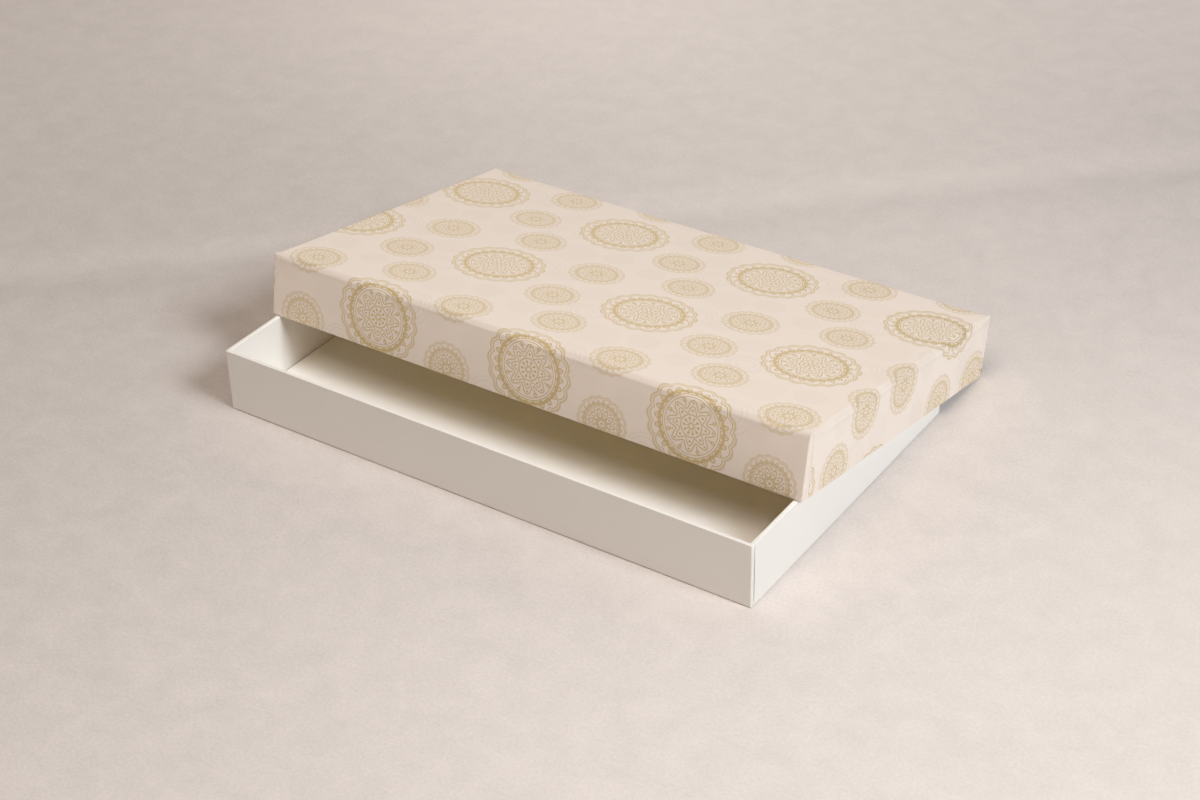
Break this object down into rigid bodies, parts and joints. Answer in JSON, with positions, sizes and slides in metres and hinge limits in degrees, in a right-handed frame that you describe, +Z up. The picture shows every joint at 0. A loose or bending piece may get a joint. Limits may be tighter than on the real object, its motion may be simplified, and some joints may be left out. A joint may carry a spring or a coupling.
{
  "type": "mithai sweet box",
  "caption": "Shallow rectangular two-piece sweet box: a white board tray, and a deep paper-wrapped lid slid back and leaning open across its rim.",
  "frame": {"origin": "middle of the tray's underside", "axes": "+X along the tray's length to its right end, +Y from its front wall to its rear wall, +Z up"},
  "size_m": [0.3056, 0.2285, 0.0668],
  "materials": {
    "greyboard": "matte",
    "stay_tape": "matte",
    "white_paper": "satin",
    "printed_paper": "satin"
  },
  "bodies": {
    "base": {"base_floor_board": "greyboard", "base_front_board": "greyboard", "base_rear_board": "greyboard", "base_left_board": "greyboard", "base_right_board": "greyboard", "base_corner_tape_front_left": "stay_tape", "base_corner_tape_front_right": "stay_tape", "base_corner_tape_rear_left": "stay_tape", "base_corner_tape_rear_right": "stay_tape", "base_front_paper": "white_paper", "base_rear_paper": "white_paper", "base_left_paper": "white_paper", "base_right_paper": "white_paper", "base_bottom_sheet": "white_paper", "base_floor_liner": "white_paper"},
    "lid": {"lid_top_board": "greyboard", "lid_front_board": "greyboard", "lid_rear_board": "greyboard", "lid_left_board": "greyboard", "lid_right_board": "greyboard", "lid_corner_tape_front_left": "stay_tape", "lid_corner_tape_front_right": "stay_tape", "lid_corner_tape_rear_left": "stay_tape", "lid_corner_tape_rear_right": "stay_tape", "lid_printed_wrap": "printed_paper", "lid_top_liner": "white_paper"}
  },
  "joints": [
    {"name": "lid_lift", "type": "slide", "parent": "base", "child": "lid", "axis": [0, 0, 1], "range_m": [0, 0.12]}
  ]
}
